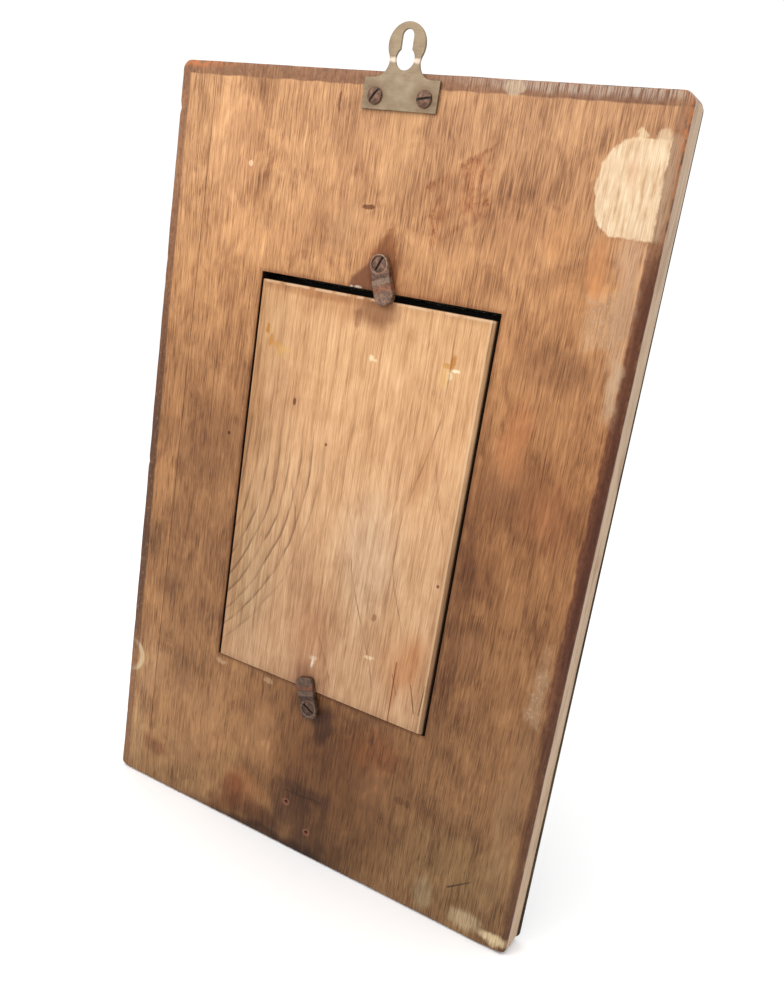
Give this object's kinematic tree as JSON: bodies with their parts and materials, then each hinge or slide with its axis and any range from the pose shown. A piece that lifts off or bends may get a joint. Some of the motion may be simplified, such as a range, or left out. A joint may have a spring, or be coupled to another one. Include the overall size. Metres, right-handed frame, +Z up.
{
  "type": "hanging picture frame",
  "caption": "Wall-hanging wooden picture frame with a keyhole hanger plate, a metal facing, and a loose backing board held in by turn buttons.",
  "frame": {"origin": "the nail's bearing point: top of the hanger plate's slot, midway through the plate", "axes": "+Z up, -Y out of the back that faces the wall, +Y towards the picture side, +X to the right seen from the back"},
  "size_m": [0.2549, 0.0227, 0.4139],
  "materials": {
    "board_wood": "bare plywood veneer, smoke-stained and worn, dark brush-marked border",
    "backing_wood": "bare softwood, planed and aged",
    "facing_metal": "thin sheet with a dark patina",
    "pin_metal": "dark patina, rubbed on the crown",
    "clear_glass": "clear sheet glass",
    "picture_paper": "blank cream paper card",
    "backing_paper": "black pulp card",
    "hanger_steel": "dull brass-washed steel plate",
    "screw_iron": "brown rusted iron",
    "button_iron": "brown rusted iron, pitted"
  },
  "bodies": {
    "frame": {"frame_board": "board_wood", "front_facing": "facing_metal", "facing_pin_01": "pin_metal", "facing_pin_02": "pin_metal", "facing_pin_03": "pin_metal", "facing_pin_04": "pin_metal", "facing_pin_05": "pin_metal", "facing_pin_06": "pin_metal", "facing_pin_07": "pin_metal", "facing_pin_08": "pin_metal", "facing_pin_09": "pin_metal", "facing_pin_10": "pin_metal", "facing_pin_11": "pin_metal", "facing_pin_12": "pin_metal", "facing_pin_13": "pin_metal", "facing_pin_14": "pin_metal", "glass_pane": "clear_glass", "picture_sheet": "picture_paper", "backing_card": "backing_paper", "hanger_plate": "hanger_steel", "hanger_screw_left": "screw_iron", "hanger_screw_right": "screw_iron", "top_button_screw": "screw_iron", "bottom_button_screw": "screw_iron"},
    "backing": {"backing_board": "backing_wood"},
    "top_button": {"top_turn_button": "button_iron"},
    "bottom_button": {"bottom_turn_button": "button_iron"}
  },
  "joints": [
    {"name": "top_button_turn", "type": "hinge", "parent": "frame", "child": "top_button", "pos_m": [0.0028, 0.0009, -0.0986], "axis": [0, 1, 0], "continuous": true},
    {"name": "bottom_button_turn", "type": "hinge", "parent": "frame", "child": "bottom_button", "pos_m": [-0.0005, 0.0009, -0.3247], "axis": [0, 1, 0], "continuous": true},
    {"name": "backing_board_lift", "type": "slide", "parent": "frame", "child": "backing", "axis": [0, 0, 1], "range_m": [0, 0.0031]}
  ]
}
